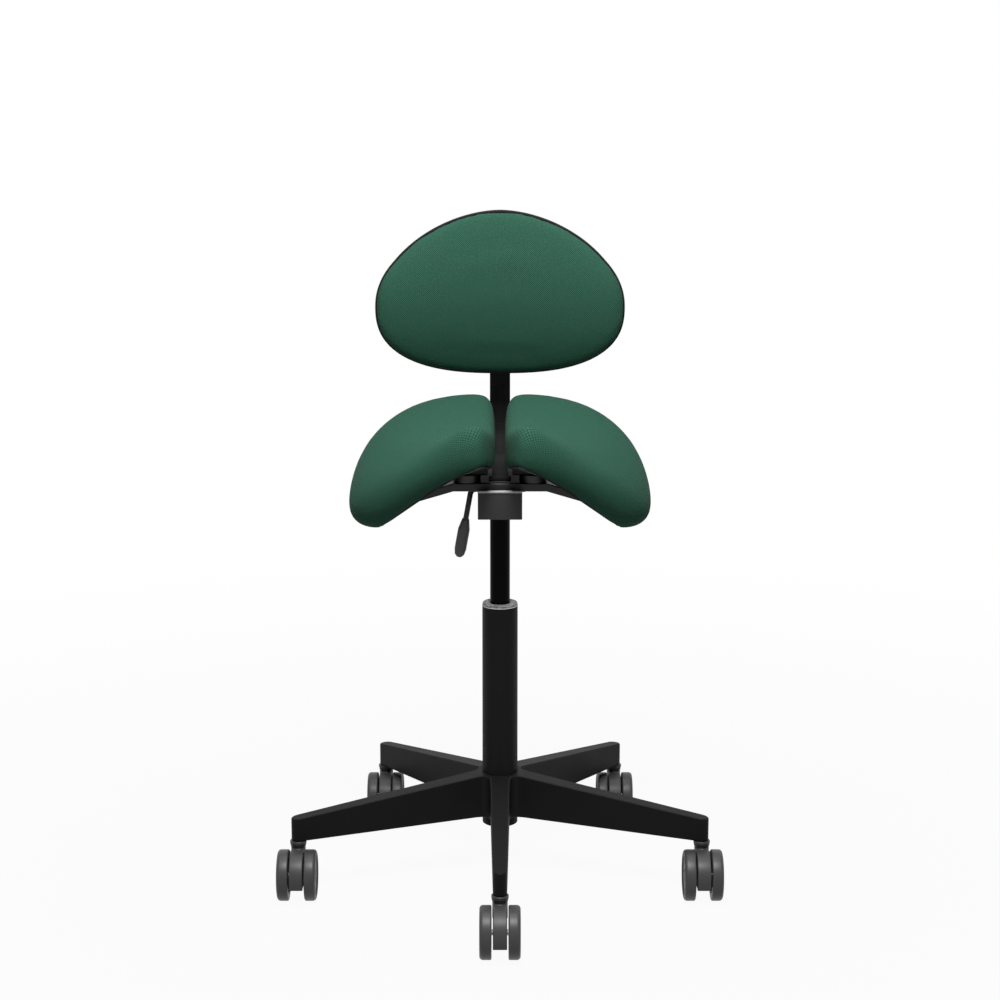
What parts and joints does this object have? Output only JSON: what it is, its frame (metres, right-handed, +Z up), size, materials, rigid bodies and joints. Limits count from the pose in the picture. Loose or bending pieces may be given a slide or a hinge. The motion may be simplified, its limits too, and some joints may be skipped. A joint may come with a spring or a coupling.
{
  "type": "saddle stool",
  "caption": "Saddle stool with a split green seat, an egg-shaped green backrest on a flat bar, a gas spring column with a height lever and a black star base on twin-wheel castors.",
  "frame": {"origin": "on the floor below the middle of the stool's bounding box", "axes": "+Z up; the user faces -Y, so the backrest is on the +Y side; +X is to the right in a view from the front"},
  "size_m": [0.618, 0.61, 0.9365],
  "materials": {
    "green_fabric": "fine woven, matt",
    "black_coat": "satin powder coat",
    "gloss_black": "polished black",
    "grey_steel": "satin dark grey",
    "shell_plastic": "smooth, slightly glossy edge",
    "castor_plastic": "satin moulded",
    "wheel_plastic": "satin moulded",
    "bright_steel": "bright turned",
    "bush_plastic": "speckled grey"
  },
  "bodies": {
    "base": {"star_base": "black_coat", "column_tube": "black_coat", "guide_bush": "bush_plastic", "castor_front_stem": "bright_steel", "castor_right_front_stem": "bright_steel", "castor_right_rear_stem": "bright_steel", "castor_left_rear_stem": "bright_steel", "castor_left_front_stem": "bright_steel"},
    "spindle": {"piston_rod": "bright_steel", "thrust_bearing": "bright_steel", "retaining_clip": "bright_steel"},
    "seat": {"piston_tube": "gloss_black", "mechanism_box": "grey_steel", "socket_plate": "grey_steel", "carrier_plate": "grey_steel", "bar_guide": "grey_steel", "seat_spacer_front_left": "shell_plastic", "seat_spacer_front_right": "shell_plastic", "seat_spacer_rear_left": "shell_plastic", "seat_spacer_rear_right": "shell_plastic", "seat_shell_left": "shell_plastic", "seat_shell_right": "shell_plastic", "seat_pad_left": "green_fabric", "seat_pad_right": "green_fabric"},
    "lever": {"lever_rod": "grey_steel", "lever_grip": "shell_plastic"},
    "release_button": {"release_button": "bright_steel"},
    "backrest_arm": {"backrest_bar": "grey_steel"},
    "depth_knob": {"depth_knob": "shell_plastic"},
    "height_carrier": {"height_carrier": "shell_plastic", "tilt_pin": "bright_steel"},
    "height_knob": {"height_knob": "shell_plastic"},
    "backrest": {"tilt_bracket": "grey_steel", "backrest_shell": "shell_plastic", "backrest_pad": "green_fabric"},
    "castor_front_swivel": {"castor_front_housing": "castor_plastic", "castor_front_axle": "bright_steel"},
    "castor_front_left_wheel": {"castor_front_left_wheel": "wheel_plastic"},
    "castor_front_right_wheel": {"castor_front_right_wheel": "wheel_plastic"},
    "castor_right_front_swivel": {"castor_right_front_housing": "castor_plastic", "castor_right_front_axle": "bright_steel"},
    "castor_right_front_left_wheel": {"castor_right_front_left_wheel": "wheel_plastic"},
    "castor_right_front_right_wheel": {"castor_right_front_right_wheel": "wheel_plastic"},
    "castor_right_rear_swivel": {"castor_right_rear_housing": "castor_plastic", "castor_right_rear_axle": "bright_steel"},
    "castor_right_rear_left_wheel": {"castor_right_rear_left_wheel": "wheel_plastic"},
    "castor_right_rear_right_wheel": {"castor_right_rear_right_wheel": "wheel_plastic"},
    "castor_left_rear_swivel": {"castor_left_rear_housing": "castor_plastic", "castor_left_rear_axle": "bright_steel"},
    "castor_left_rear_left_wheel": {"castor_left_rear_left_wheel": "wheel_plastic"},
    "castor_left_rear_right_wheel": {"castor_left_rear_right_wheel": "wheel_plastic"},
    "castor_left_front_swivel": {"castor_left_front_housing": "castor_plastic", "castor_left_front_axle": "bright_steel"},
    "castor_left_front_left_wheel": {"castor_left_front_left_wheel": "wheel_plastic"},
    "castor_left_front_right_wheel": {"castor_left_front_right_wheel": "wheel_plastic"}
  },
  "joints": [
    {"name": "seat_turn", "type": "hinge", "parent": "base", "child": "spindle", "pos_m": [0, 0.05359, 0.2], "axis": [0, 0, 1], "continuous": true},
    {"name": "seat_height", "type": "slide", "parent": "spindle", "child": "seat", "axis": [0, 0, 1], "range_m": [-0.12, 0.08]},
    {"name": "height_lever", "type": "hinge", "parent": "seat", "child": "lever", "pos_m": [0, 0.07859, 0.5538], "axis": [1, 0, 0], "range_deg": [0, 8], "stiffness_Nm_per_rad": 2},
    {"name": "valve_button", "type": "slide", "parent": "seat", "child": "release_button", "axis": [0, 0, -1], "range_m": [0, 0.0042]},
    {"name": "backrest_depth", "type": "slide", "parent": "seat", "child": "backrest_arm", "axis": [0, 1, 0], "range_m": [-0.01, 0.05]},
    {"name": "depth_clamp", "type": "hinge", "parent": "seat", "child": "depth_knob", "pos_m": [0, 0.12659, 0.55], "axis": [0, 0, 1], "range_deg": [0, 180]},
    {"name": "backrest_height", "type": "slide", "parent": "backrest_arm", "child": "height_carrier", "axis": [0, 0, 1], "range_m": [-0.015, 0.05]},
    {"name": "height_clamp", "type": "hinge", "parent": "height_carrier", "child": "height_knob", "pos_m": [0, 0.23359, 0.8], "axis": [0, 1, 0], "range_deg": [0, 180]},
    {"name": "backrest_tilt", "type": "hinge", "parent": "height_carrier", "child": "backrest", "pos_m": [0, 0.19359, 0.8], "axis": [1, 0, 0], "range_deg": [-8, 8]},
    {"name": "castor_front_turn", "type": "hinge", "parent": "base", "child": "castor_front_swivel", "pos_m": [0, -0.24291, 0.07], "axis": [0, 0, 1], "continuous": true},
    {"name": "castor_front_left_roll", "type": "hinge", "parent": "castor_front_swivel", "child": "castor_front_left_wheel", "pos_m": [0, -0.26941, 0.03556], "axis": [1, 0, 0], "continuous": true},
    {"name": "castor_front_right_roll", "type": "hinge", "parent": "castor_front_swivel", "child": "castor_front_right_wheel", "pos_m": [0, -0.26941, 0.03556], "axis": [1, 0, 0], "continuous": true},
    {"name": "castor_right_front_turn", "type": "hinge", "parent": "base", "child": "castor_right_front_swivel", "pos_m": [0.28199, -0.03803, 0.07], "axis": [0, 0, 1], "continuous": true},
    {"name": "castor_right_front_left_roll", "type": "hinge", "parent": "castor_right_front_swivel", "child": "castor_right_front_left_wheel", "pos_m": [0.28199, -0.06453, 0.03556], "axis": [1, 0, 0], "continuous": true},
    {"name": "castor_right_front_right_roll", "type": "hinge", "parent": "castor_right_front_swivel", "child": "castor_right_front_right_wheel", "pos_m": [0.28199, -0.06453, 0.03556], "axis": [1, 0, 0], "continuous": true},
    {"name": "castor_right_rear_turn", "type": "hinge", "parent": "base", "child": "castor_right_rear_swivel", "pos_m": [0.17428, 0.29347, 0.07], "axis": [0, 0, 1], "continuous": true},
    {"name": "castor_right_rear_left_roll", "type": "hinge", "parent": "castor_right_rear_swivel", "child": "castor_right_rear_left_wheel", "pos_m": [0.17428, 0.26697, 0.03556], "axis": [1, 0, 0], "continuous": true},
    {"name": "castor_right_rear_right_roll", "type": "hinge", "parent": "castor_right_rear_swivel", "child": "castor_right_rear_right_wheel", "pos_m": [0.17428, 0.26697, 0.03556], "axis": [1, 0, 0], "continuous": true},
    {"name": "castor_left_rear_turn", "type": "hinge", "parent": "base", "child": "castor_left_rear_swivel", "pos_m": [-0.17428, 0.29347, 0.07], "axis": [0, 0, 1], "continuous": true},
    {"name": "castor_left_rear_left_roll", "type": "hinge", "parent": "castor_left_rear_swivel", "child": "castor_left_rear_left_wheel", "pos_m": [-0.17428, 0.26697, 0.03556], "axis": [1, 0, 0], "continuous": true},
    {"name": "castor_left_rear_right_roll", "type": "hinge", "parent": "castor_left_rear_swivel", "child": "castor_left_rear_right_wheel", "pos_m": [-0.17428, 0.26697, 0.03556], "axis": [1, 0, 0], "continuous": true},
    {"name": "castor_left_front_turn", "type": "hinge", "parent": "base", "child": "castor_left_front_swivel", "pos_m": [-0.28199, -0.03803, 0.07], "axis": [0, 0, 1], "continuous": true},
    {"name": "castor_left_front_left_roll", "type": "hinge", "parent": "castor_left_front_swivel", "child": "castor_left_front_left_wheel", "pos_m": [-0.28199, -0.06453, 0.03556], "axis": [1, 0, 0], "continuous": true},
    {"name": "castor_left_front_right_roll", "type": "hinge", "parent": "castor_left_front_swivel", "child": "castor_left_front_right_wheel", "pos_m": [-0.28199, -0.06453, 0.03556], "axis": [1, 0, 0], "continuous": true}
  ],
  "couplings": [
    {"joint": "valve_button", "follows": "height_lever", "m_per_rad": 0.0292}
  ]
}
